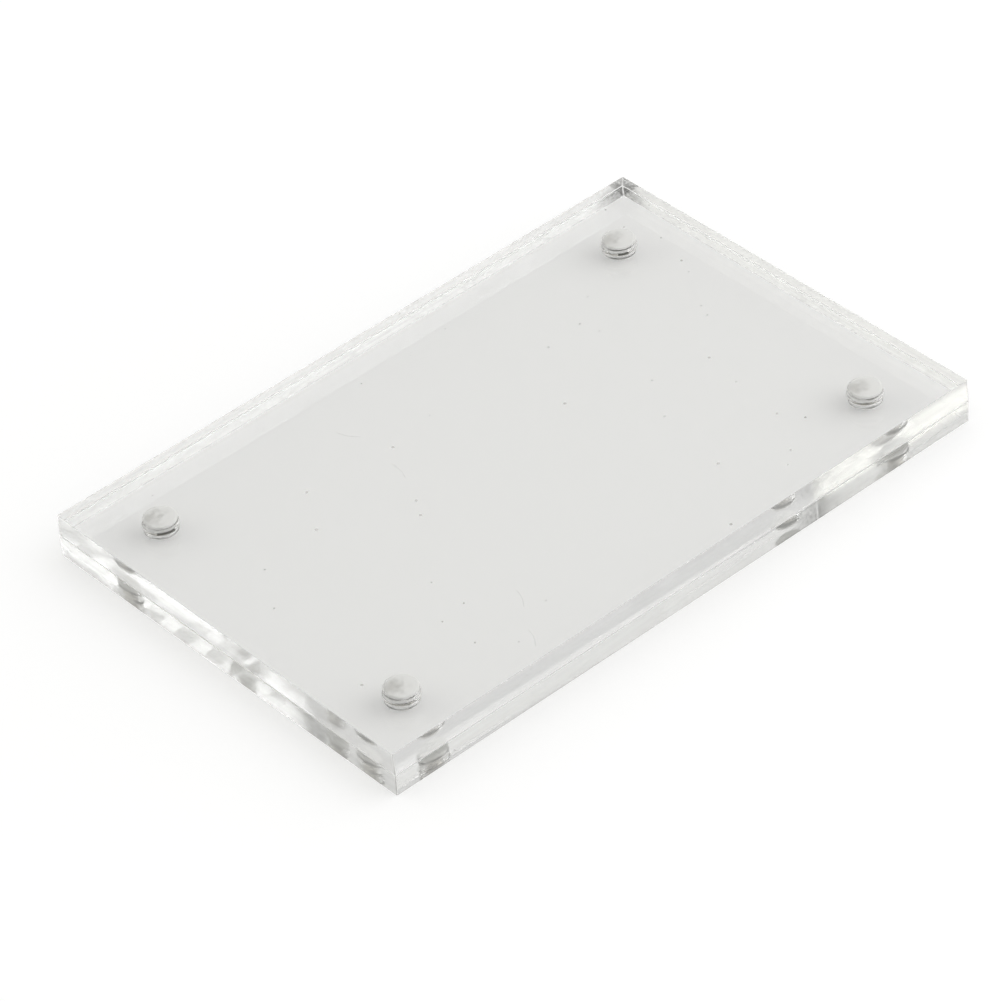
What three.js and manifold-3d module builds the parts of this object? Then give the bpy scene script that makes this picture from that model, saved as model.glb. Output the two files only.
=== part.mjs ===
// Magnetic acrylic photo frame: two clear panels held together by four pairs of disc magnets.
// Millimetres, +Z up. The frame lies on its back: X along its length, Y along its width.
// The origin is the centre of the face that it rests on.

import * as THREE from 'three';
import { mergeVertices } from 'three/addons/utils/BufferGeometryUtils.js';
import Module from 'manifold-3d';

// Driving dimensions
const PANEL_LENGTH = 90;
const PANEL_WIDTH = 60;
const EDGE_CHAMFER = 0.2;       // polished break on every edge of a panel
const MAGNET_DIAMETER = 4;
const MAGNET_THICKNESS = 1.5;
const MAGNET_CHAMFER = 0.2;
const MAGNET_INSET = 8.6;       // from a panel's sides to the centre of a magnet
const MAGNET_PROUD = 0.05;      // each magnet stands out of its hole, so the magnets meet first
const HOLE_CLEARANCE = 0.1;     // between the magnet and the wall of its hole, on the radius
const HOLE_FLOOR = 1.15;        // acrylic left between the end of a hole and the outer face
const GLUE_THICKNESS = 0.4;
const GLUE_SETBACK = 0.1;       // from the magnet's rim to the edge of its glue drop
const ROUND_SIDES = 40;

// Sizes that follow from them
const HOLE_RADIUS = MAGNET_DIAMETER / 2 + HOLE_CLEARANCE;
const HOLE_DEPTH = MAGNET_THICKNESS + GLUE_THICKNESS - MAGNET_PROUD;
const PANEL_THICKNESS = HOLE_DEPTH + HOLE_FLOOR;
const PICTURE_GAP = 2 * MAGNET_PROUD;
const MAGNET_X = PANEL_LENGTH / 2 - MAGNET_INSET;
const MAGNET_Y = PANEL_WIDTH / 2 - MAGNET_INSET;

const CORNERS = [
  { name: 'top_left', x: -MAGNET_X, y: MAGNET_Y },
  { name: 'top_right', x: MAGNET_X, y: MAGNET_Y },
  { name: 'bottom_left', x: -MAGNET_X, y: -MAGNET_Y },
  { name: 'bottom_right', x: MAGNET_X, y: -MAGNET_Y },
];

// Each half is described from its inner face: outward is the way to its outer face along Z.
const HALVES = [
  { name: 'back', innerFace: PANEL_THICKNESS, outward: -1 },
  { name: 'front', innerFace: PANEL_THICKNESS + PICTURE_GAP, outward: 1 },
];

const acrylicMaterial = () => new THREE.MeshStandardMaterial({
  color: '#eef1ee', roughness: 0.05, metalness: 0, transparent: true, opacity: 0.35,
});
const nickelMaterial = () => new THREE.MeshStandardMaterial({
  color: '#c9c7c0', roughness: 0.25, metalness: 1,
});
const glueMaterial = () => new THREE.MeshStandardMaterial({
  color: '#e6e6de', roughness: 0.3, metalness: 0, transparent: true, opacity: 0.6,
});

const wasm = await Module();
wasm.setup();

/** Turns a closed three.js geometry into a solid that can be cut. */
function toSolid(geometry) {
  const bare = geometry.clone();
  bare.deleteAttribute('normal');
  bare.deleteAttribute('uv');
  const welded = mergeVertices(bare);
  return new wasm.Manifold(new wasm.Mesh({
    numProp: 3,
    vertProperties: new Float32Array(welded.attributes.position.array),
    triVerts: new Uint32Array(welded.index.array),
  }));
}

/** Turns a solid back into a geometry with flat faces. */
function toGeometry(solid) {
  const mesh = solid.getMesh();
  const indexed = new THREE.BufferGeometry();
  indexed.setAttribute('position', new THREE.BufferAttribute(mesh.vertProperties, 3));
  indexed.setIndex(new THREE.BufferAttribute(mesh.triVerts, 1));
  const geometry = indexed.toNonIndexed();
  geometry.computeVertexNormals();
  return geometry;
}

/** A solid of revolution about Z, from a profile of [radius, height] points that rise from axis to axis. */
function turned(profile) {
  const points = profile.map(([radius, height]) => new THREE.Vector2(radius, height));
  const geometry = new THREE.LatheGeometry(points, ROUND_SIDES);
  geometry.rotateX(Math.PI / 2);
  return geometry;
}

/** A disc centred on the origin, with chamfered rims. */
function discGeometry(radius, thickness, chamfer) {
  const half = thickness / 2;
  return turned([
    [0, -half],
    [radius - chamfer, -half],
    [radius, -half + chamfer],
    [radius, half - chamfer],
    [radius - chamfer, half],
    [0, half],
  ]);
}

/** A plain cylinder about Z from the origin up. */
function plugGeometry(radius, height) {
  return turned([
    [0, 0],
    [radius, 0],
    [radius, height],
    [0, height],
  ]);
}

/** A rectangle with its four corners cut by the edge chamfer. */
function panelOutline() {
  const x = PANEL_LENGTH / 2;
  const y = PANEL_WIDTH / 2;
  const cut = EDGE_CHAMFER;
  return new THREE.Shape([
    new THREE.Vector2(x, -y + cut),
    new THREE.Vector2(x, y - cut),
    new THREE.Vector2(x - cut, y),
    new THREE.Vector2(-x + cut, y),
    new THREE.Vector2(-x, y - cut),
    new THREE.Vector2(-x, -y + cut),
    new THREE.Vector2(-x + cut, -y),
    new THREE.Vector2(x - cut, -y),
  ]);
}

/** A panel with its inner face at Z = 0, its outer face above, and the magnet holes open at Z = 0. */
function panelGeometry() {
  const slab = new THREE.ExtrudeGeometry(panelOutline(), {
    depth: PANEL_THICKNESS - 2 * EDGE_CHAMFER,
    bevelEnabled: true,
    bevelSegments: 1,
    bevelThickness: EDGE_CHAMFER,
    bevelSize: EDGE_CHAMFER,
    bevelOffset: -EDGE_CHAMFER,
  });
  slab.translate(0, 0, EDGE_CHAMFER);
  let solid = toSolid(slab);
  for (const corner of CORNERS) {
    const drill = plugGeometry(HOLE_RADIUS, HOLE_DEPTH + PANEL_THICKNESS);
    drill.translate(corner.x, corner.y, -PANEL_THICKNESS);
    solid = solid.subtract(toSolid(drill));
  }
  return toGeometry(solid);
}

/** Adds a named mesh to a group at a place in the frame. */
function place(group, name, geometry, material, x, y, z) {
  const mesh = new THREE.Mesh(geometry, material);
  mesh.name = name;
  mesh.position.set(x, y, z);
  group.add(mesh);
  return mesh;
}

/** One half of the frame: a panel with a magnet and a drop of glue in each of its holes. */
function makeHalf({ name, innerFace, outward }) {
  const half = new THREE.Group();
  const panel = place(half, `${name}_panel`, panelGeometry(), acrylicMaterial(), 0, 0, innerFace);
  panel.rotation.x = outward > 0 ? 0 : Math.PI;

  const magnetEnd = MAGNET_THICKNESS - MAGNET_PROUD;
  const magnetZ = innerFace + outward * (magnetEnd - MAGNET_THICKNESS / 2);
  const glueZ = innerFace + outward * (magnetEnd + GLUE_THICKNESS / 2);
  const glueRadius = MAGNET_DIAMETER / 2 - GLUE_SETBACK;
  for (const corner of CORNERS) {
    const magnet = discGeometry(MAGNET_DIAMETER / 2, MAGNET_THICKNESS, MAGNET_CHAMFER);
    place(half, `${name}_magnet_${corner.name}`, magnet, nickelMaterial(), corner.x, corner.y, magnetZ);
    const glue = plugGeometry(glueRadius, GLUE_THICKNESS);
    glue.translate(0, 0, -GLUE_THICKNESS / 2);
    place(half, `${name}_glue_${corner.name}`, glue, glueMaterial(), corner.x, corner.y, glueZ);
  }
  return half;
}

const frame = new THREE.Group();
for (const half of HALVES) {
  frame.add(makeHalf(half));
}

export default frame;
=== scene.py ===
"""Dresses the magnetic acrylic photo frame and lights it as a small studio shot.

Two clear panels lie on each other, each with a glued-in disc magnet near its four corners. Every piece is
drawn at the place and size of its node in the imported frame, with the fine shape and finish of the real one.
"""

import logging
import math
from abc import ABC, abstractmethod
from dataclasses import dataclass, field
from enum import Enum, IntEnum
from typing import Any, ClassVar, Sequence

import bpy
from bpy.types import Material, Node, NodeSocket, NodeTree, Object
from mathutils import Matrix, Vector
from mathutils.geometry import tessellate_polygon


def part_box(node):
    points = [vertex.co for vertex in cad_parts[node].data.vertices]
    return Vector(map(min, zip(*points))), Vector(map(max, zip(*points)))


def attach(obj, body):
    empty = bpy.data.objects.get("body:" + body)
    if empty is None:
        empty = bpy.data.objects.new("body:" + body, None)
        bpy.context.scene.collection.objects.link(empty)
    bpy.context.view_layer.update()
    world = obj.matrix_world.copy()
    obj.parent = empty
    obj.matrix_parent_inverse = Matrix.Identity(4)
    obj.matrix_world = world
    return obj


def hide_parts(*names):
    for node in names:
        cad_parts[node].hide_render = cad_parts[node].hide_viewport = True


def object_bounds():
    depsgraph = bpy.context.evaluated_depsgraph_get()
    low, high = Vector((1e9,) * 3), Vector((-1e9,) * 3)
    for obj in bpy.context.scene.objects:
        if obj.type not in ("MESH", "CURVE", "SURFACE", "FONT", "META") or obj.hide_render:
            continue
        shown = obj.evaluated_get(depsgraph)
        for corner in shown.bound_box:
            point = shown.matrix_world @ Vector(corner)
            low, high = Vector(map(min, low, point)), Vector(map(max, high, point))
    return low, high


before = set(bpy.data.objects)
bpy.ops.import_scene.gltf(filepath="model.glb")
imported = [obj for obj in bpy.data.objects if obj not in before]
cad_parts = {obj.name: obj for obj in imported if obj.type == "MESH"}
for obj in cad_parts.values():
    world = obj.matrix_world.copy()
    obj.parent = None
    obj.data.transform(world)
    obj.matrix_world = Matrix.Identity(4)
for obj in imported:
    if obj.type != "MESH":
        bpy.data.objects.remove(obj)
CAD_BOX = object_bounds()

LOG = logging.getLogger("photo_frame")
MM = 0.001
IMAGE_SIDE_PX = 1001
UP = Vector((0.0, 0.0, 1.0))
# The first corner's seed, and how far the next one's is from it.
FIRST_SEED = 1.0
SEED_STEP = 2.3
# How far a pattern is shifted along X and Y for each metre of height.
LEVEL_SHIFT = (37.0, 61.0)


class Half(Enum):
    """The two halves of the frame, by the words in their nodes' names, and which way each one faces."""

    BACK = "back"
    FRONT = "front"

    @property
    def outward(self) -> Vector:
        """The way from the inner face to the outer face."""
        return UP if self is Half.FRONT else -UP

    @property
    def body(self) -> str:
        """The name of the body that this half's pieces ride on."""
        return f"{self.value}_half"


class Corner(Enum):
    """The four corners, as in the nodes' names, each with a seed for what differs from one to the next."""

    TOP_LEFT = "top_left"
    TOP_RIGHT = "top_right"
    BOTTOM_LEFT = "bottom_left"
    BOTTOM_RIGHT = "bottom_right"

    @property
    def seed(self) -> float:
        """A number of its own for each corner."""
        return FIRST_SEED + SEED_STEP * list(Corner).index(self)

    @property
    def shade_arc_reach(self) -> float:
        """How far the painted shade runs out over the rounded mouth of the hole, from 0 to 1."""
        return 1.0 if self in (Corner.TOP_LEFT, Corner.TOP_RIGHT) else 0.3


class PanelSlot(IntEnum):
    """The finishes on one panel, in the order of its material slots."""

    FACE = 0
    LONG_SIDE = 1
    SHORT_SIDE = 2
    EDGE = 3
    BORE = 4
    BORE_END = 5
    PAINTED_SHADE = 6


def linear(hex_colour: str) -> tuple[float, float, float, float]:
    """Turns an sRGB colour into linear light.

    Args:
        hex_colour: six hex digits, red, green and blue.

    Returns:
        Red, green, blue and an alpha of 1, as Blender's sockets take them.
    """
    channels = [int(hex_colour[i:i + 2], 16) / 255 for i in (0, 2, 4)]
    light = [c / 12.92 if c <= 0.04045 else ((c + 0.055) / 1.055) ** 2.4 for c in channels]
    return light[0], light[1], light[2], 1.0


def per_metre(size_mm: float) -> float:
    """The scale that gives a texture features of this size, in millimetres, on an object in metres."""
    return 1.0 / (size_mm * MM)


def way_to(azimuth_deg: float, elevation_deg: float) -> Vector:
    """The way from the frame to a lamp or a camera.

    Args:
        azimuth_deg: degrees round the frame, from 0 in front of its near long side.
        elevation_deg: degrees above the floor.

    Returns:
        A unit vector.
    """
    azimuth = math.radians(azimuth_deg)
    elevation = math.radians(elevation_deg)
    reach = math.cos(elevation)
    return Vector((math.sin(azimuth) * reach, -math.cos(azimuth) * reach, math.sin(elevation)))


def directions(sides: int) -> list[tuple[float, Vector]]:
    """The angles of some even steps round a circle, in radians, each with the flat vector that points so."""
    angles = [math.tau * i / sides for i in range(sides)]
    return [(angle, Vector((math.cos(angle), math.sin(angle), 0.0))) for angle in angles]


@dataclass(frozen=True)
class Wave:
    """One of the waves that make up an uneven edge round a hole."""

    size: float
    turns: int
    shift: float


def uneven(angle: float, seed: float, waves: Sequence[Wave]) -> float:
    """How far an edge made up of waves runs off its line at an angle in radians, from about -1 to 1."""
    return sum(wave.size * math.sin(wave.turns * angle + wave.shift * seed) for wave in waves)


def add_node(
    tree: NodeTree,
    kind: str,
    inputs: dict[str | int, Any] | None = None,
    **settings: Any,
) -> Node:
    """Adds a node with its settings and links.

    Args:
        tree: the node tree to add to.
        kind: Blender's name for the type of node, without ShaderNode in front.
        inputs: by socket name or number, an output to link, a node whose first output to link, or a value.
        settings: the node's own attributes.

    Returns:
        The new node.
    """
    node = tree.nodes.new(f"ShaderNode{kind}")
    for name, value in settings.items():
        setattr(node, name, value)
    for key, value in (inputs or {}).items():
        source = value.outputs[0] if isinstance(value, Node) else value
        if isinstance(source, NodeSocket):
            tree.links.new(source, node.inputs[key])
        else:
            node.inputs[key].default_value = source
    return node


def new_material(name: str) -> tuple[Material, NodeTree, NodeSocket]:
    """Makes a node material that has only the place on the object to start from.

    Args:
        name: what the material is, and how its surface was made.

    Returns:
        The material, its node tree, and coordinates in metres.
    """
    material = bpy.data.materials.new(name)
    material.use_nodes = True
    tree = material.node_tree
    tree.nodes.clear()
    return material, tree, add_node(tree, "TexCoord").outputs["Object"]


@dataclass(frozen=True)
class ClearResin:
    """What the clear finishes share: a glassy body, white scatter where it is scuffed, light let through."""

    name: str
    colour: str = "fefefe"
    ior: float = 1.49
    scatter_colour: str = "f4f4f2"
    scatter_behind: float = 0.5
    pass_colour: str = "f6f6f5"

    @property
    def body(self) -> dict[str, Any]:
        """What is set on the shader of the glassy body."""
        return {"Base Color": linear(self.colour), "IOR": self.ior, "Transmission Weight": 1.0}

    def frosted(self, tree: NodeTree, clear: Node, frost: Node) -> Node:
        """Covers a clear shader with the white scatter of a scuffed surface, lit from in front and behind.

        Args:
            tree: the material's node tree.
            clear: the clear shader.
            frost: how much of the surface scatters, from 0 to 1.

        Returns:
            The mixed shader.
        """
        ahead = add_node(tree, "BsdfDiffuse", {"Color": linear(self.scatter_colour)})
        behind = add_node(tree, "BsdfTranslucent", {"Color": linear(self.scatter_colour)})
        scatter = add_node(tree, "MixShader", {0: self.scatter_behind, 1: ahead, 2: behind})
        return add_node(tree, "MixShader", {0: frost, 1: clear, 2: scatter})

    def close(self, tree: NodeTree, shader: Node) -> None:
        """Ends the material, with straight passage for lamplight and for light between matt surfaces.

        Args:
            tree: the material's node tree.
            shader: what the eye sees.
        """
        path = add_node(tree, "LightPath")
        passing = add_node(tree, "BsdfTransparent", {"Color": linear(self.pass_colour)})
        for ray in ("Is Shadow Ray", "Is Diffuse Ray"):
            shader = add_node(tree, "MixShader", {0: path.outputs[ray], 1: shader, 2: passing})
        add_node(tree, "OutputMaterial", {"Surface": shader})


@dataclass(frozen=True)
class CastAcrylicFace(ClearResin):
    """Cast acrylic with the skin of its glass mould: water clear and mirror smooth, with dust and hairs."""

    roughness: float = 0.0
    dust_spacing_mm: float = 6.0
    dust_radius_mm: float = 0.2
    dust_share: float = 0.24
    dust_cover: float = 0.6
    dust_colour: str = "b9b8b2"
    hair_spacing_mm: float = 24.0
    hair_share: float = 0.13
    hair_reach_mm: float = 1.5
    hair_width_mm: float = 0.09
    hair_bend_mm: float = 9.0
    hair_cover: float = 0.13

    def make(self) -> Material:
        """Builds the material.

        Returns:
            Clear acrylic with dust specks and short hairs.
        """
        material, tree, place = new_material(self.name)
        place = self.spread_by_height(tree, place)
        clear = add_node(tree, "BsdfPrincipled", self.body | {"Roughness": self.roughness})
        marks = add_node(tree, "Math", {0: self.specks(tree, place), 1: self.hairs(tree, place)},
                         operation="MAXIMUM")
        dust = add_node(tree, "BsdfDiffuse", {"Color": linear(self.dust_colour)})
        self.close(tree, add_node(tree, "MixShader", {0: marks, 1: clear, 2: dust}))
        return material

    def spread_by_height(self, tree: NodeTree, place: NodeSocket) -> Node:
        """Coordinates that differ from one level to the next, so that no two faces share a pattern.

        Args:
            tree: the material's node tree.
            place: coordinates in metres.

        Returns:
            The coordinates, shifted sideways by the height.
        """
        parts = add_node(tree, "SeparateXYZ", {"Vector": place})
        shifted = {
            axis: add_node(tree, "Math", {0: parts.outputs["Z"], 1: shift, 2: parts.outputs[axis]},
                           operation="MULTIPLY_ADD")
            for axis, shift in zip("XY", LEVEL_SHIFT)}
        return add_node(tree, "CombineXYZ", shifted)

    def specks(self, tree: NodeTree, place: Node) -> Node:
        """Scatters dust: in a share of the cells of a loose net, a speck of a size of its own.

        Args:
            tree: the material's node tree.
            place: coordinates in metres.

        Returns:
            The cover of the specks, from 0 to 1.
        """
        cells = add_node(tree, "TexVoronoi", {"Vector": place, "Scale": per_metre(self.dust_spacing_mm)},
                         voronoi_dimensions="2D")
        chance = add_node(tree, "SeparateColor", {"Color": cells.outputs["Color"]})
        size = add_node(tree, "MapRange", {
            "Value": chance.outputs["Red"], "From Min": 1.0 - self.dust_share,
            "To Max": self.dust_radius_mm / self.dust_spacing_mm})
        speck = add_node(tree, "Math", {0: cells.outputs["Distance"], 1: size}, operation="LESS_THAN")
        cover = add_node(tree, "Math", {0: chance.outputs["Green"], 1: self.dust_cover},
                         operation="MULTIPLY")
        return add_node(tree, "Math", {0: speck, 1: cover}, operation="MULTIPLY")

    def hairs(self, tree: NodeTree, place: Node) -> Node:
        """Lays short bent hairs: in a share of the cells of a wide net, a stretch of a turned parabola.

        Args:
            tree: the material's node tree.
            place: coordinates in metres.

        Returns:
            The cover of the hairs, from 0 to 1.
        """
        cells = add_node(tree, "TexVoronoi", {"Vector": place, "Scale": per_metre(self.hair_spacing_mm)},
                         voronoi_dimensions="2D")
        chance = add_node(tree, "SeparateColor", {"Color": cells.outputs["Color"]})
        local = add_node(tree, "VectorMath", {0: place, 1: cells.outputs["Position"]}, operation="SUBTRACT")
        angle = add_node(tree, "Math", {0: chance.outputs["Green"], 1: math.tau}, operation="MULTIPLY")
        turned = add_node(tree, "VectorRotate", {"Vector": local, "Angle": angle}, rotation_type="Z_AXIS")
        parts = add_node(tree, "SeparateXYZ", {"Vector": turned})
        square = add_node(tree, "Math", {0: parts.outputs["X"], 1: parts.outputs["X"]}, operation="MULTIPLY")
        bend = add_node(tree, "Math", {0: square, 1: per_metre(self.hair_bend_mm)}, operation="MULTIPLY")
        # A hair is about 0.05 mm thick: drawn coarser, so that it shows in a picture of the whole frame.
        line = add_node(tree, "Math", {0: parts.outputs["Y"], 1: bend, 2: self.hair_width_mm * MM / 2},
                        operation="COMPARE")
        short = add_node(tree, "Math", {0: parts.outputs["X"], 1: 0.0, 2: self.hair_reach_mm * MM},
                         operation="COMPARE")
        here = add_node(tree, "Math", {0: chance.outputs["Red"], 1: 1.0 - self.hair_share},
                        operation="GREATER_THAN")
        cover = line
        for share in (short, here, self.hair_cover):
            cover = add_node(tree, "Math", {0: cover, 1: share}, operation="MULTIPLY")
        return cover


@dataclass(frozen=True)
class CutAcrylic(ClearResin):
    """Acrylic where a tool has been: still clear, veiled in long streaks, with fine ripples across them."""

    roughness: float = 0.012
    frost_least: float = 0.26
    frost_most: float = 0.36
    streak_length_mm: float = 30.0
    streak_width_mm: float = 1.3
    streak_span: tuple[float, float] = (0.3, 0.7)
    streak_detail: float = 1.5
    ripple_pitch_mm: float = 0.9
    ripple_depth_mm: float = 0.0006
    ripple_detail: float = 1.0

    def make(self) -> Material:
        """Builds the material.

        Returns:
            Clear acrylic with a streaky white veil.
        """
        material, tree, place = new_material(self.name)
        parts = add_node(tree, "SeparateXYZ", {"Vector": place})
        along = add_node(tree, "Math", {0: parts.outputs["X"], 1: parts.outputs["Y"]}, operation="ADD")
        run = add_node(tree, "Math", {0: along, 1: per_metre(self.streak_length_mm)}, operation="MULTIPLY")
        rise = add_node(tree, "Math", {0: parts.outputs["Z"], 1: per_metre(self.streak_width_mm)},
                        operation="MULTIPLY")
        lane = add_node(tree, "CombineXYZ", {"X": run, "Y": rise})
        streaks = add_node(tree, "TexNoise", {"Vector": lane, "Scale": 1.0, "Detail": self.streak_detail},
                           noise_dimensions="2D")
        frost = add_node(tree, "MapRange", {
            "Value": streaks, "From Min": self.streak_span[0], "From Max": self.streak_span[1],
            "To Min": self.frost_least, "To Max": self.frost_most})
        ripples = add_node(tree, "TexNoise", {
            "W": along, "Scale": per_metre(self.ripple_pitch_mm), "Detail": self.ripple_detail},
            noise_dimensions="1D")
        relief = add_node(tree, "Bump", {"Height": ripples, "Distance": self.ripple_depth_mm * MM})
        clear = add_node(tree, "BsdfPrincipled", self.body | {"Roughness": self.roughness, "Normal": relief})
        self.close(tree, self.add_painted_shade(tree, place, self.frosted(tree, clear, frost)))
        return material

    def add_painted_shade(self, tree: NodeTree, place: NodeSocket, shader: Node) -> Node:
        """The finish with its painted shade, of which there is none here."""
        return shader


@dataclass(frozen=True)
class LaserCutSide(CutAcrylic):
    """A side of the sheet as the beam left it: dim to light that passes, with painted shade at one corner."""

    pass_colour: str = "e4e4e3"
    # Painted shade at the far corner: its height, reach, full-strength core, dark grey colour and patchy
    # mottle.
    painted_shade_height_mm: float = 0.8
    painted_shade_reach_mm: float = 5.0
    painted_shade_core: float = 0.3
    painted_shade_colour: str = "5c5c58"
    shade_mottle_mm: float = 0.6
    shade_mottle_span: tuple[float, float] = (0.35, 0.65)
    shade_mottle_cover: tuple[float, float] = (0.25, 0.9)
    shade_mottle_detail: float = 3.0

    def add_painted_shade(self, tree: NodeTree, place: NodeSocket, shader: Node) -> Node:
        """Adds painted shade at the far corner: a patchy dark grey that is gone a few millimetres away.

        Args:
            tree: the material's node tree.
            place: coordinates in metres.
            shader: the finish without the painted shade.

        Returns:
            The mixed shader.
        """
        far_x, far_y, _ = CAD_BOX[1]
        corner = Vector((far_x, far_y, self.painted_shade_height_mm * MM))
        reach = self.painted_shade_reach_mm * MM
        away = add_node(tree, "VectorMath", {0: place, 1: corner}, operation="DISTANCE")
        near = add_node(tree, "MapRange", {
            "Value": away.outputs["Value"], "From Min": self.painted_shade_core * reach, "From Max": reach,
            "To Min": 1.0, "To Max": 0.0})
        shade_mottle = add_node(tree, "TexNoise", {
            "Vector": place, "Scale": per_metre(self.shade_mottle_mm), "Detail": self.shade_mottle_detail})
        patch = add_node(tree, "MapRange", {
            "Value": shade_mottle, "From Min": self.shade_mottle_span[0], "From Max": self.shade_mottle_span[1],
            "To Min": self.shade_mottle_cover[0], "To Max": self.shade_mottle_cover[1]})
        cover = add_node(tree, "Math", {0: near, 1: patch}, operation="MULTIPLY")
        # Painted shade: a dark grey mixed in near the far corner.
        grey = add_node(tree, "BsdfDiffuse", {"Color": linear(self.painted_shade_colour)})
        return add_node(tree, "MixShader", {0: cover, 1: shader, 2: grey})


@dataclass(frozen=True)
class MilledHoleEnd(ClearResin):
    """The milled end of a magnet hole: frosted white where it is dry, see-through where glue wets it."""

    roughness: float = 0.3
    scatter_behind: float = 0.0
    frost_wet: float = 0.58
    frost_dry: float = 0.97
    wet_offset_mm: tuple[float, float, float] = (-1.2, 0.8, 0.0)
    wet_radius_mm: float = 1.4
    wet_fade_mm: float = 0.8
    wet_waver_mm: float = 4.5
    cloud_mm: float = 0.6
    cloud_detail: float = 4.0
    ring_pitch_mm: float = 0.3
    ring_depth_mm: float = 0.01
    ring_detail: float = 2.0

    def make(self) -> Material:
        """Builds the material.

        Returns:
            White milled acrylic with a see-through patch and tool rings.
        """
        material, tree, place = new_material(self.name)
        low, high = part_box(f"{Half.FRONT.value}_magnet_{Corner.TOP_RIGHT.value}")
        hole = (low + high) / 2
        hole.z = 0.0
        # The four holes lie alike in the four quarters of the panel.
        side = add_node(tree, "VectorMath", {0: place}, operation="SIGN")
        axis = add_node(tree, "VectorMath", {0: side, 1: hole}, operation="MULTIPLY")
        local = add_node(tree, "VectorMath", {0: place, 1: axis}, operation="SUBTRACT")
        flat = add_node(tree, "VectorMath", {0: local, 1: (1.0, 1.0, 0.0)}, operation="MULTIPLY")
        radius = add_node(tree, "VectorMath", {0: flat}, operation="LENGTH")
        reach = add_node(tree, "VectorMath", {0: flat, 1: Vector(self.wet_offset_mm) * MM},
                         operation="DISTANCE")
        cloud = add_node(tree, "TexNoise", {
            "Vector": place, "Scale": per_metre(self.cloud_mm), "Detail": self.cloud_detail})
        shore = add_node(tree, "Math", {0: cloud, 1: self.wet_waver_mm * MM, 2: reach.outputs["Value"]},
                         operation="MULTIPLY_ADD")
        edge = self.wet_radius_mm + self.wet_waver_mm / 2
        frost = add_node(tree, "MapRange", {
            "Value": shore, "From Min": (edge - self.wet_fade_mm) * MM,
            "From Max": (edge + self.wet_fade_mm) * MM,
            "To Min": self.frost_wet, "To Max": self.frost_dry})
        rings = add_node(tree, "TexNoise", {
            "W": radius.outputs["Value"], "Scale": per_metre(self.ring_pitch_mm),
            "Detail": self.ring_detail}, noise_dimensions="1D")
        relief = add_node(tree, "Bump", {"Height": rings, "Distance": self.ring_depth_mm * MM})
        clear = add_node(tree, "BsdfPrincipled", self.body | {"Roughness": self.roughness, "Normal": relief})
        self.close(tree, self.frosted(tree, clear, frost))
        return material


@dataclass(frozen=True)
class PaintedHoleShade:
    """Painted shade on the wall of the hole: a dark grey band that stands in for the magnet's dark side seen
    through the wall.
    """

    name: str
    # Painted shade: the dark grey of the band.
    colour: str = "55544e"
    roughness_least: float = 0.25
    roughness_most: float = 0.45
    mottle_mm: float = 0.6

    def make(self) -> Material:
        """Builds the material.

        Returns:
            A dim, slightly uneven grey.
        """
        material, tree, place = new_material(self.name)
        mottle = add_node(tree, "TexNoise", {"Vector": place, "Scale": per_metre(self.mottle_mm)})
        dullness = add_node(tree, "MapRange", {
            "Value": mottle, "To Min": self.roughness_least, "To Max": self.roughness_most})
        grey = add_node(tree, "BsdfPrincipled", {"Base Color": linear(self.colour), "Roughness": dullness})
        add_node(tree, "OutputMaterial", {"Surface": grey})
        return material


@dataclass(frozen=True)
class NickelPlate:
    """Bright nickel on a sintered magnet: a warm pale mirror, a little hazy from the tumbled blank below."""

    name: str
    colour: str = "c8c4bc"
    roughness_least: float = 0.112
    roughness_most: float = 0.256
    grain_mm: float = 0.12
    grain_depth_mm: float = 0.004
    grain_detail: float = 4.0

    def make(self) -> Material:
        """Builds the material.

        Returns:
            Nickel with a tumbled grain.
        """
        material, tree, place = new_material(self.name)
        grain = add_node(tree, "TexNoise", {
            "Vector": place, "Scale": per_metre(self.grain_mm), "Detail": self.grain_detail})
        haze = add_node(tree, "MapRange", {
            "Value": grain, "To Min": self.roughness_least, "To Max": self.roughness_most})
        relief = add_node(tree, "Bump", {"Height": grain, "Distance": self.grain_depth_mm * MM})
        metal = add_node(tree, "BsdfPrincipled", {
            "Base Color": linear(self.colour), "Metallic": 1.0, "Roughness": haze, "Normal": relief})
        add_node(tree, "OutputMaterial", {"Surface": metal})
        return material


@dataclass(frozen=True)
class ClearGlue(ClearResin):
    """Set clear adhesive: glassy, with a faint milkiness."""

    colour: str = "f6f6f1"
    ior: float = 1.48
    roughness_most: float = 0.4
    cloud_mm: float = 0.8
    cloud_detail: float = 3.0

    def make(self) -> Material:
        """Builds the material.

        Returns:
            A clear, hazy resin.
        """
        material, tree, place = new_material(self.name)
        cloud = add_node(tree, "TexNoise", {
            "Vector": place, "Scale": per_metre(self.cloud_mm), "Detail": self.cloud_detail})
        haze = add_node(tree, "MapRange", {"Value": cloud, "To Max": self.roughness_most})
        self.close(tree, add_node(tree, "BsdfPrincipled", self.body | {"Roughness": haze}))
        return material


@dataclass(frozen=True)
class SheetCut:
    """How the beam left the sides of one sheet: a little out of square, veiled, and duller at the ends, with
    painted light and shade in the veil's colour.
    """

    taper: float
    veil_and_painted_light_colour: str
    end_roughness: float

    def finishes(self, half: Half) -> dict[PanelSlot, Material]:
        """Makes the finishes of the sides.

        Args:
            half: which panel they are on.

        Returns:
            A material for the long sides and one for the short ones.
        """
        return {
            # Cut along by a beam: nearly polished, with a thin streaky veil that greys what shows through, in
            # a colour that carries painted light and shade.
            PanelSlot.LONG_SIDE: LaserCutSide(
                f"acrylic_laser_cut_{half.value}_side", scatter_colour=self.veil_and_painted_light_colour, scatter_behind=0.3,
                roughness=0.04).make(),
            # Cut across by a beam: clear with a soft veil, so what shows through it is blurred.
            PanelSlot.SHORT_SIDE: LaserCutSide(
                f"acrylic_laser_cut_{half.value}_end", scatter_behind=0.4, roughness=self.end_roughness,
                frost_least=0.28, frost_most=0.38).make(),
        }


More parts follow.
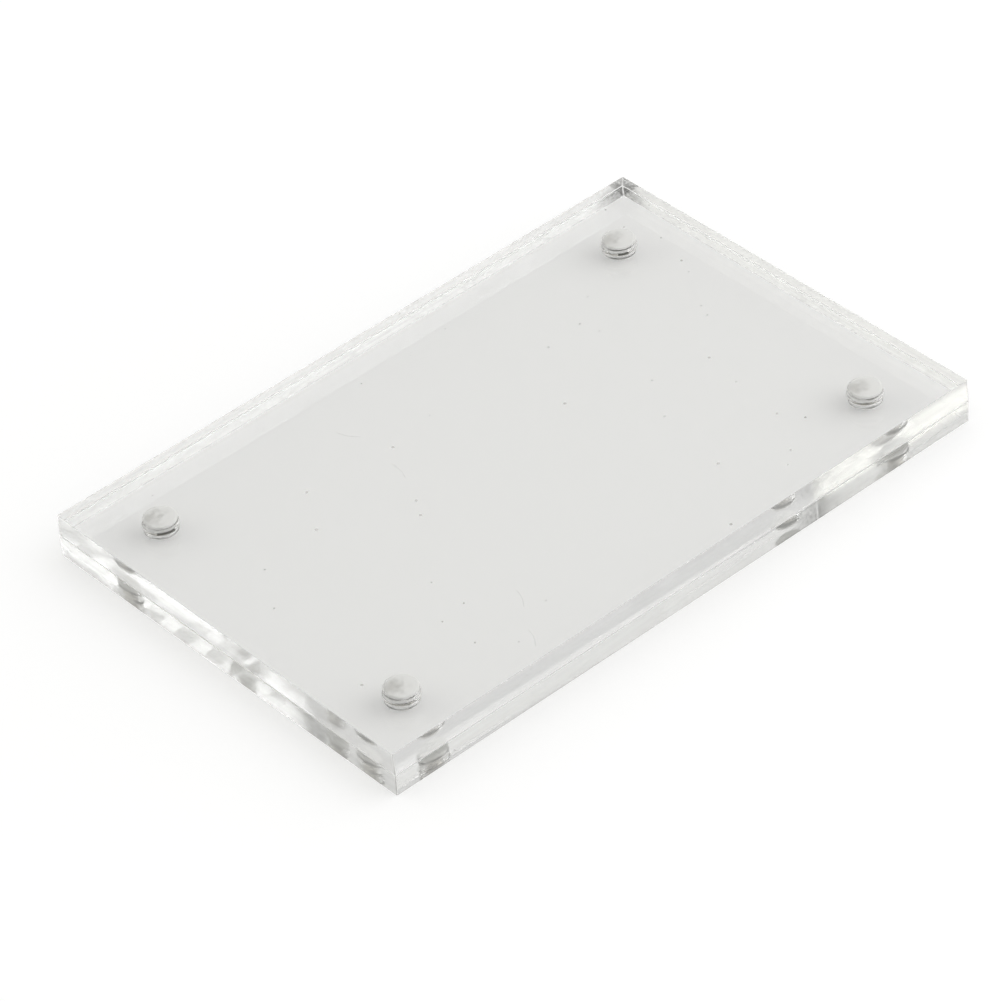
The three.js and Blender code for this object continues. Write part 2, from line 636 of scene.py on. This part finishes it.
def shared_finishes() -> dict[PanelSlot, Material]:
    """Makes the finishes that are the same on both panels.

    Returns:
        A material for each of a panel's slots but its sides.
    """
    return {
        # Cast in a glass mould: water clear and mirror smooth, so only the dust and hairs on it show.
        PanelSlot.FACE: CastAcrylicFace("cast_acrylic_moulded_face").make(),
        # Broken with a scraper: a fine white line along each edge.
        PanelSlot.EDGE: CutAcrylic(
            "acrylic_scraped_edge", scatter_colour="fdfdfc", roughness=0.2,
            frost_least=0.42, frost_most=0.57).make(),
        # Milled and left so: a dull wall that still lets the magnet show.
        PanelSlot.BORE: CutAcrylic(
            "acrylic_milled_hole_wall", roughness=0.3, frost_least=0.15, frost_most=0.3).make(),
        # Milled flat, then wetted by glue in one place: a pale disc with a clearer patch.
        PanelSlot.BORE_END: MilledHoleEnd("acrylic_milled_hole_end").make(),
        # Painted shade: a dark wavering grey line round the magnet, on the hole's wall and over part of its
        # mouth.
        PanelSlot.PAINTED_SHADE: PaintedHoleShade("painted_shade_hole_band").make(),
    }


@dataclass
class MeshDraft:
    """The vertices and faces of a piece that is being drawn, with a smooth normal at each face's corners."""

    points: list[Vector] = field(default_factory=list)
    faces: list[list[int]] = field(default_factory=list)
    slots: list[int] = field(default_factory=list)
    normals: list[list[Vector]] = field(default_factory=list)

    def ring(self, points: Sequence[Vector]) -> list[int]:
        """Adds vertices at these points, and gives their numbers."""
        self.points.extend(points)
        return list(range(len(self.points) - len(points), len(self.points)))

    def face(self, corners: Sequence[int], normals: Sequence[Vector], slot: int = 0) -> None:
        """Adds a face, turned so that it looks the way of its normals.

        Args:
            corners: numbers of its vertices, in order.
            normals: the smooth normal at each corner.
            slot: the number of its material slot.
        """
        order = list(range(len(corners)))
        turn = Vector()
        for here, after in zip(corners, list(corners[1:]) + [corners[0]]):
            turn += self.points[here].cross(self.points[after])
        if turn.dot(sum(normals, Vector())) < 0:
            order.reverse()
        self.faces.append([corners[i] for i in order])
        self.normals.append([normals[i] for i in order])
        self.slots.append(slot)

    def loft(
        self,
        rings: Sequence[Sequence[int]],
        normals: Sequence[Sequence[Vector]],
        slots: Sequence[Sequence[int]] | None = None,
    ) -> None:
        """Joins closed rings of as many points, each to the next, with bands of quads.

        Args:
            rings: numbers of each ring's vertices.
            normals: the normals along each ring.
            slots: for each band, the numbers of its quads' material slots, taken in turn.
        """
        for band in range(len(rings) - 1):
            lower, upper = rings[band:band + 2]
            lower_normals, upper_normals = normals[band:band + 2]
            band_slots = slots[band] if slots else [0]
            for i in range(len(lower)):
                j = (i + 1) % len(lower)
                self.face(
                    [lower[i], lower[j], upper[j], upper[i]],
                    [lower_normals[i], lower_normals[j], upper_normals[j], upper_normals[i]],
                    band_slots[i % len(band_slots)],
                )

    def to_object(self, name: str, materials: Sequence[Material]) -> Object:
        """Makes the mesh and its object.

        Args:
            name: the piece's name.
            materials: its material slots.

        Returns:
            The new object, in the scene.
        """
        mesh = bpy.data.meshes.new(name)
        mesh.from_pydata(self.points, [], self.faces)
        for material in materials:
            mesh.materials.append(material)
        mesh.polygons.foreach_set("material_index", self.slots)
        mesh.polygons.foreach_set("use_smooth", [True] * len(self.faces))
        mesh.normals_split_custom_set([n for face in self.normals for n in face])
        mesh.update()
        piece = bpy.data.objects.new(name, mesh)
        bpy.context.scene.collection.objects.link(piece)
        return piece


@dataclass(frozen=True)
class ProfilePoint:
    """A point on a profile, with the way its surface faces."""

    inset: float
    height: float
    sideways: float
    upward: float


def quarter(
    inset: float,
    height: float,
    radius: float,
    start_deg: float,
    end_deg: float,
    steps: int,
    inward: float = 1.0,
) -> list[ProfilePoint]:
    """A rounded edge on a profile.

    Args:
        inset: the arc's centre, across.
        height: the arc's centre, up.
        radius: the arc's radius.
        start_deg: where it starts, in degrees from the sideways direction.
        end_deg: where it ends.
        steps: how many flats stand for the arc.
        inward: 1 for a round edge, -1 for a fillet, whose surface faces the arc's centre.

    Returns:
        The arc's points, with their normals.
    """
    points = []
    for step in range(steps + 1):
        angle = math.radians(start_deg + (end_deg - start_deg) * step / steps)
        across = math.cos(angle)
        up = math.sin(angle)
        points.append(ProfilePoint(
            inset + radius * across, height + radius * up, inward * across, inward * up))
    return points


def put_in_place(piece: Object, half: Half, node: str) -> Object:
    """Makes a piece stand for a node.

    Args:
        piece: the finished piece.
        half: the half that it moves with.
        node: the node that it replaces.

    Returns:
        The same piece.
    """
    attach(piece, half.body)
    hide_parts(node)
    return piece


@dataclass
class AcrylicPanel:
    """One clear panel: a plate with cut sides, broken edges and a blind hole for each magnet."""

    half: Half
    materials: dict[PanelSlot, Material]
    side_taper: float
    hole_clearance: float = 0.1 * MM
    edge_radius: float = 0.04 * MM
    corner_radius: float = 0.15 * MM
    mouth_radius: float = 0.2 * MM
    end_fillet: float = 0.3 * MM
    # The band of painted shade on the hole's wall, and the arc of it over the mouth.
    shade_band_start: float = 1.1 * MM
    shade_band_height: float = 0.24 * MM
    shade_band_waver: float = 0.1 * MM
    shade_band_waves: tuple[Wave, ...] = (Wave(0.6, 2, 1.0), Wave(0.4, 5, -2.1))
    shade_band_seed_step: float = 1.7
    shade_arc_way_deg: float = -114.0
    shade_arc_half_width_deg: float = 34.0
    shade_arc_sway: Wave = Wave(0.15, 0, 3.0)
    shade_arc_shrink: float = 0.25
    round_sides: int = 72
    corner_steps: int = 4
    edge_steps: int = 4
    draft: MeshDraft = field(default_factory=MeshDraft)
    length: float = field(init=False)
    width: float = field(init=False)
    thickness: float = field(init=False)
    inner_z: float = field(init=False)

    def __post_init__(self) -> None:
        """Takes the panel's size and place from its node."""
        low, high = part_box(self.node)
        self.length = high.x - low.x
        self.width = high.y - low.y
        self.thickness = high.z - low.z
        self.inner_z = low.z if self.half is Half.FRONT else high.z

    @property
    def node(self) -> str:
        """The name of the node that this panel stands for."""
        return f"{self.half.value}_panel"

    def build(self) -> Object:
        """Draws the panel.

        Returns:
            The panel, riding on its half and in place of its node.
        """
        inner_ring = self.draw_sides()
        mouths = [self.draw_hole(corner) for corner in Corner]
        self.draw_inner_face(inner_ring, mouths)
        piece = self.draft.to_object(f"{self.node}_clear", [self.materials[slot] for slot in PanelSlot])
        return put_in_place(piece, self.half, self.node)

    def lift(self, x: float, y: float, height: float) -> Vector:
        """A point of the panel, at a height above its inner face, towards the outer one."""
        return Vector((x, y, self.inner_z + self.half.outward.z * height))

    def outline(self, inset: float, lean: float) -> tuple[list[Vector], list[Vector]]:
        """The panel's outline with round corners, drawn in by an inset.

        Args:
            inset: how far inside the panel's sides it runs.
            lean: how much further inside it runs along the long sides.

        Returns:
            Its points, flat, and the way each one faces.
        """
        points = []
        ways = []
        reach_x = self.length / 2 - self.corner_radius
        reach_y = self.width / 2 - self.corner_radius - lean
        for turn, (sign_x, sign_y) in enumerate(((1, 1), (-1, 1), (-1, -1), (1, -1))):
            centre = Vector((sign_x * reach_x, sign_y * reach_y, 0.0))
            for step in range(self.corner_steps + 1):
                angle = math.radians(90.0 * (turn + step / self.corner_steps))
                way = Vector((math.cos(angle), math.sin(angle), 0.0))
                points.append(centre + way * (self.corner_radius - inset))
                ways.append(way)
        return points, ways

    def draw_sides(self) -> list[int]:
        """Draws the outer face, the broken edges and the sides.

        Returns:
            The ring of vertices where the inner face starts.
        """
        edge = self.edge_radius
        profile = quarter(-edge, self.thickness - edge, edge, 90, 0, self.edge_steps)
        profile += quarter(-edge, edge, edge, 0, -90, self.edge_steps)
        slope = self.side_taper / (self.thickness - edge)
        rings = []
        normals = []
        for point in profile:
            points, ways = self.outline(-point.inset, slope * max(0.0, point.height - edge))
            rings.append(self.draft.ring([self.lift(p.x, p.y, point.height) for p in points]))
            normals.append([self.side_normal(way, point, slope) for way in ways])
        # Between two corners the side is one long quad; the quads of a corner are as rough as the edges.
        corner = [PanelSlot.EDGE] * self.corner_steps
        sides = corner + [PanelSlot.LONG_SIDE] + corner + [PanelSlot.SHORT_SIDE]
        edges = [[PanelSlot.EDGE]] * self.edge_steps
        self.draft.face(rings[0], [self.half.outward] * len(rings[0]), PanelSlot.FACE)
        self.draft.loft(rings, normals, edges + [sides] + edges)
        return rings[-1]

    def side_normal(self, way: Vector, point: ProfilePoint, slope: float) -> Vector:
        """The way the sides face at a point of the profile, where the long ones lean in by a slope."""
        tilt = point.upward + point.sideways * slope * abs(way.y)
        return (way * point.sideways + self.half.outward * tilt).normalized()

    def draw_hole(self, corner: Corner) -> list[int]:
        """Draws a blind hole round its magnet: a broken mouth, a wall with a band of painted shade and a
        milled end.

        Args:
            corner: which hole it is.

        Returns:
            The ring of vertices at its mouth.
        """
        low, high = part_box(f"{self.half.value}_magnet_{corner.value}")
        centre = (low + high) / 2
        wall = (high.x - low.x) / 2 + self.hole_clearance
        # The glue lies on the end of the hole.
        glue_low, glue_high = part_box(f"{self.half.value}_glue_{corner.value}")
        depth = max(abs(glue_low.z - self.inner_z), abs(glue_high.z - self.inner_z))
        outward = self.half.outward
        ways = directions(self.round_sides)
        mouth = self.mouth_radius
        fillet = self.end_fillet
        profile = quarter(wall + mouth, mouth, mouth, 270, 180, self.edge_steps)
        first_shade_ring = len(profile)
        profile.append(ProfilePoint(wall, self.shade_band_start, -1.0, 0.0))
        profile.append(ProfilePoint(wall, self.shade_band_start + self.shade_band_height, -1.0, 0.0))
        last_shade_ring = len(profile) - 1
        profile += quarter(wall - fillet, depth - fillet, fillet, 0, 90, self.edge_steps, -1.0)
        rings = []
        normals = []
        for index, point in enumerate(profile):
            seed = corner.seed + self.shade_band_seed_step * (index - first_shade_ring)
            waver = self.shade_band_waver if first_shade_ring <= index <= last_shade_ring else 0.0
            rings.append(self.draft.ring([
                self.lift(centre.x + way.x * point.inset, centre.y + way.y * point.inset,
                          point.height + waver * uneven(angle, seed, self.shade_band_waves))
                for angle, way in ways]))
            normals.append([way * point.sideways + outward * point.upward for _, way in ways])
        # Painted shade: the arc over the mouth and the band on the wall take the dark grey.
        shade_arc = [PanelSlot.PAINTED_SHADE if self.in_shade_arc(angle, corner) else PanelSlot.BORE for angle, _ in ways]
        bare = round(self.edge_steps * (1.0 - corner.shade_arc_reach))
        slots = [[PanelSlot.BORE]] * bare + [shade_arc] * (self.edge_steps - bare)
        slots += [[PanelSlot.BORE], [PanelSlot.PAINTED_SHADE], [PanelSlot.BORE]]
        slots += [[PanelSlot.BORE_END]] * self.edge_steps
        self.draft.loft(rings, normals, slots)
        self.draft.face(rings[-1], [-outward] * self.round_sides, PanelSlot.BORE_END)
        return rings[0]

    def in_shade_arc(self, angle: float, corner: Corner) -> bool:
        """Whether the painted shade has run out to the mouth of a hole here.

        Args:
            angle: the place round the hole, in radians.
            corner: which hole it is.

        Returns:
            True where it has.
        """
        middle = math.radians(self.shade_arc_way_deg) + uneven(angle, corner.seed, [self.shade_arc_sway])
        share = 1.0 - self.shade_arc_shrink + self.shade_arc_shrink * math.cos(corner.seed)
        return math.cos(angle - middle) > math.cos(math.radians(self.shade_arc_half_width_deg) * share)

    def draw_inner_face(self, outline: list[int], mouths: list[list[int]]) -> None:
        """Draws the inner face round the mouths of the holes.

        Args:
            outline: the ring where the sides end.
            mouths: the ring at each hole's mouth.
        """
        loops = [outline] + mouths
        numbers = [number for loop in loops for number in loop]
        flat = [[self.draft.points[number].to_2d().to_3d() for number in loop] for loop in loops]
        for triangle in tessellate_polygon(flat):
            self.draft.face([numbers[i] for i in triangle], [-self.half.outward] * 3, PanelSlot.FACE)


@dataclass
class RoundPiece(ABC):
    """What the pieces in a hole share: a profile turned about the hole's axis, with flat ends."""

    kind: ClassVar[str]
    finish: ClassVar[str]
    slot: ClassVar[str]

    half: Half
    corner: Corner
    material: Material
    round_sides: int = 72

    @property
    def node(self) -> str:
        """The name of the node that this piece stands for."""
        return f"{self.half.value}_{self.kind}_{self.corner.value}"

    @abstractmethod
    def profile(self, radius: float, half_height: float) -> list[ProfilePoint]:
        """The points from the lower end to the upper one, with inset as the radius."""

    def spread(self, angle: float) -> float:
        """The share of the radius that the piece reaches in a direction."""
        return 1.0

    def build(self) -> Object:
        """Draws the piece.

        Returns:
            The piece, riding on its half and in place of its node.
        """
        low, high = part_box(self.node)
        centre = (low + high) / 2
        draft = MeshDraft()
        ways = directions(self.round_sides)
        rings = []
        normals = []
        for point in self.profile((high.x - low.x) / 2, (high.z - low.z) / 2):
            rings.append(draft.ring([
                centre + way * (point.inset * self.spread(angle)) + UP * point.height
                for angle, way in ways]))
            normals.append([way * point.sideways + UP * point.upward for _, way in ways])
        draft.loft(rings, normals)
        draft.face(rings[0], [-UP] * self.round_sides)
        draft.face(rings[-1], [UP] * self.round_sides)
        piece = draft.to_object(f"{self.node}_{self.finish}", [self.material])
        return put_in_place(piece, self.half, self.node)


@dataclass
class DiscMagnet(RoundPiece):
    """A plated disc magnet with rounded rims."""

    kind: ClassVar[str] = "magnet"
    finish: ClassVar[str] = "plated"
    slot: ClassVar[str] = "nickel"

    rim_radius: float = 0.2 * MM
    rim_steps: int = 5

    def profile(self, radius: float, half_height: float) -> list[ProfilePoint]:
        """A straight wall between two rounded rims.

        Args:
            radius: the magnet's radius.
            half_height: half its thickness.

        Returns:
            The points from the lower end to the upper one.
        """
        rim = self.rim_radius
        lower = quarter(radius - rim, rim - half_height, rim, -90, 0, self.rim_steps)
        upper = quarter(radius - rim, half_height - rim, rim, 0, 90, self.rim_steps)
        return lower + upper


@dataclass
class GlueDrop(RoundPiece):
    """A drop of glue pressed flat between a magnet and the end of its hole."""

    kind: ClassVar[str] = "glue"
    finish: ClassVar[str] = "drop"
    slot: ClassVar[str] = "glue"

    film_gap: float = 0.01 * MM
    edge_waver: float = 0.16
    edge_waves: tuple[Wave, ...] = (Wave(0.5, 1, 1.0), Wave(0.3, 3, -1.0), Wave(0.2, 4, 2.0))
    edge_steps: int = 8

    def profile(self, radius: float, half_height: float) -> list[ProfilePoint]:
        """The round bulge of the drop's edge, with a thin film of air above and below it."""
        bulge = half_height - self.film_gap
        return quarter(radius - bulge, 0.0, bulge, -90, 90, self.edge_steps)

    def spread(self, angle: float) -> float:
        """The share of its full radius that the drop has run out to in a direction."""
        return 1.0 - self.edge_waver * (1.0 + uneven(angle, self.corner.seed, self.edge_waves)) / 2


@dataclass
class FrameHalf:
    """One half of the frame: its panel, its four magnets and their drops of glue."""

    half: Half
    panel_materials: dict[PanelSlot, Material]
    nickel: Material
    glue: Material
    side_taper: float

    def build(self) -> list[Object]:
        """Draws every piece of this half.

        Returns:
            The pieces.
        """
        pieces = [AcrylicPanel(self.half, self.panel_materials, self.side_taper).build()]
        for corner in Corner:
            pieces.append(DiscMagnet(self.half, corner, self.nickel).build())
            pieces.append(GlueDrop(self.half, corner, self.glue).build())
        return pieces


@dataclass(frozen=True)
class Softbox:
    """A studio lamp, by where it stands and how bright it makes a white floor."""

    name: str
    azimuth_deg: float
    elevation_deg: float
    level: float
    size: float
    distance: float = 0.7
    colour: str = "ffffff"

    def build(self) -> None:
        """Sets the lamp up, so that it points at the middle of the frame."""
        way = way_to(self.azimuth_deg, self.elevation_deg)
        lamp = bpy.data.lights.new(self.name, "AREA")
        lamp.shape = "SQUARE"
        lamp.size = self.size
        lamp.color = linear(self.colour)[:3]
        # A lamp of P watts at distance d gives a white floor P * sin(elevation) / (pi * d)^2.
        lamp.energy = self.level * (math.pi * self.distance) ** 2 / way.z
        stand = bpy.data.objects.new(self.name, lamp)
        stand.location = way * self.distance
        stand.rotation_euler = way.to_track_quat("Z", "Y").to_euler()
        bpy.context.scene.collection.objects.link(stand)


@dataclass(frozen=True)
class PhotoCamera:
    """The photograph's view, fitted to the outline of the frame in it."""

    azimuth_deg: float = -38.46
    elevation_deg: float = 39.52
    roll_deg: float = -5.36
    distance_mm: float = 623.7
    aim_mm: tuple[float, float, float] = (-3.05, -0.25, 0.0)
    focal_px: float = 5312.2
    sensor_mm: float = 36.0
    nearest: float = 0.01

    def build(self) -> None:
        """Sets the camera up and makes it the scene's own."""
        back = way_to(self.azimuth_deg, self.elevation_deg)
        right = UP.cross(back).normalized()
        up = back.cross(right)
        roll = math.radians(self.roll_deg)
        level = right * math.cos(roll) + up * math.sin(roll)
        upright = up * math.cos(roll) - right * math.sin(roll)
        eye = Vector(self.aim_mm) * MM + back * (self.distance_mm * MM)
        lens = bpy.data.cameras.new("photo_camera")
        lens.sensor_width = self.sensor_mm
        lens.lens = self.focal_px / IMAGE_SIDE_PX * self.sensor_mm
        lens.clip_start = self.nearest
        camera = bpy.data.objects.new("photo_camera", lens)
        camera.matrix_world = Matrix.Translation(eye) @ Matrix((level, upright, back)).transposed().to_4x4()
        bpy.context.scene.collection.objects.link(camera)
        bpy.context.scene.camera = camera


@dataclass
class Studio:
    """A white floor that turns up at its rim, a pale room and soft lamps."""

    floor_radius: float = 0.9
    floor_drop: float = 0.03 * MM
    floor_sides: int = 96
    cove_radius: float = 0.35
    cove_turn_deg: float = 60.0
    cove_steps: int = 12
    floor_colour: str = "e7e7e7"
    near_glow: float = 0.30
    far_glow: float = 0.66
    near_reach: float = 0.03
    far_reach: float = 0.85
    horizon: float = 1.21
    zenith: float = 0.51
    front_share: float = 0.7
    back_share: float = 1.1
    back_way: tuple[float, float, float] = (0.62, 0.78, 0.0)
    light_bounces: int = 40
    softboxes: tuple[Softbox, ...] = (
        Softbox("key_front_right", azimuth_deg=50.0, elevation_deg=49.0, level=0.38, size=0.68),
        Softbox("back_left", azimuth_deg=222.0, elevation_deg=48.0, level=0.075, size=0.36, colour="fffff4"),
    )

    def build(self) -> None:
        """Sets up the floor, the room, the lamps and the light paths."""
        self.build_floor()
        self.build_room()
        for softbox in self.softboxes:
            softbox.build()
            LOG.info("lamp %s", softbox.name)
        scene = bpy.context.scene
        scene.view_settings.view_transform = "Standard"
        # Light runs far inside clear panels, from face to face, before it comes out again.
        for limit in ("max_bounces", "glossy_bounces", "transmission_bounces", "transparent_max_bounces"):
            setattr(scene.cycles, limit, self.light_bounces)

    def build_floor(self) -> None:
        """Lays the floor just under the frame: a round card whose rim turns up, so that no edge shows."""
        draft = MeshDraft()
        ways = directions(self.floor_sides)
        rings = []
        normals = []
        for step in range(self.cove_steps + 1):
            turn = math.radians(self.cove_turn_deg) * step / self.cove_steps
            radius = self.floor_radius + self.cove_radius * math.sin(turn)
            height = self.cove_radius * (1.0 - math.cos(turn)) - self.floor_drop
            rings.append(draft.ring([way * radius + UP * height for _, way in ways]))
            normals.append([UP * math.cos(turn) - way * math.sin(turn) for _, way in ways])
        draft.face(rings[0], normals[0])
        draft.loft(rings, normals)
        floor = draft.to_object("floor", [self.floor_material()])

    def floor_material(self) -> Material:
        """A matt white card that is lifted to white for the eye, also in metal and glass, and keeps shadows.

        Returns:
            The floor's material.
        """
        material, tree, place = new_material("matt_white_card")
        path = add_node(tree, "LightPath")
        seen = path.outputs["Is Camera Ray"]
        for ray in ("Is Glossy Ray", "Is Transmission Ray"):
            seen = add_node(tree, "Math", {0: seen, 1: path.outputs[ray]}, operation="MAXIMUM")
        away = add_node(tree, "VectorMath", {0: place}, operation="LENGTH")
        # The lamps are small and near, so the card dims away from the frame: there it is lifted more.
        lift = add_node(tree, "MapRange", {
            "Value": away.outputs["Value"], "From Min": self.near_reach, "From Max": self.far_reach,
            "To Min": self.near_glow, "To Max": self.far_glow})
        glow = add_node(tree, "Math", {0: seen, 1: lift}, operation="MULTIPLY")
        light = add_node(tree, "Emission", {"Strength": glow})
        card = add_node(tree, "BsdfDiffuse", {"Color": linear(self.floor_colour)})
        both = add_node(tree, "AddShader", {0: card, 1: light})
        add_node(tree, "OutputMaterial", {"Surface": both})
        return material

    def build_room(self) -> None:
        """Makes the room: white at the horizon, dimmer overhead, and brighter behind the frame."""
        world = bpy.data.worlds.new("pale_room")
        world.use_nodes = True
        tree = world.node_tree
        tree.nodes.clear()
        way = add_node(tree, "TexCoord").outputs["Generated"]
        height = add_node(tree, "SeparateXYZ", {"Vector": way})
        level = add_node(tree, "MapRange", {
            "Value": height.outputs["Z"], "To Min": self.horizon, "To Max": self.zenith})
        depth = add_node(tree, "VectorMath", {0: way, 1: self.back_way}, operation="DOT_PRODUCT")
        share = add_node(tree, "MapRange", {
            "Value": depth.outputs["Value"], "From Min": -1.0,
            "To Min": self.front_share, "To Max": self.back_share})
        strength = add_node(tree, "Math", {0: level, 1: share}, operation="MULTIPLY")
        room = add_node(tree, "Background", {"Strength": strength})
        add_node(tree, "OutputWorld", {"Surface": room})
        bpy.context.scene.world = world


def main() -> None:
    """Builds the scene in order: camera, studio, then the two halves of the frame."""
    logging.basicConfig(level=logging.INFO, format="%(name)s: %(message)s")
    PhotoCamera().build()
    Studio().build()
    finishes = shared_finishes()
    # Bright nickel over a tumbled blank: a warm pale mirror with a little haze.
    nickel = NickelPlate("bright_nickel_plating").make()
    # Clear adhesive, set under the magnet: glassy and faintly milky.
    glue = ClearGlue("clear_set_adhesive").make()
    # No two sheets are cut alike: the back one is squarer and clearer at its ends; its long sides' veil is
    # greyer as painted shade, the front one's paler as painted light.
    cuts = {
        Half.BACK: SheetCut(taper=0.10 * MM, veil_and_painted_light_colour="f0f0ee", end_roughness=0.06),
        Half.FRONT: SheetCut(taper=0.17 * MM, veil_and_painted_light_colour="fbfbfa", end_roughness=0.08),
    }
    for half, cut in cuts.items():
        panel_materials = finishes | cut.finishes(half)
        for piece in FrameHalf(half, panel_materials, nickel, glue, cut.taper).build():
            LOG.info("%s: %d faces", piece.name, len(piece.data.polygons))


if __name__ == "__main__":
    main()
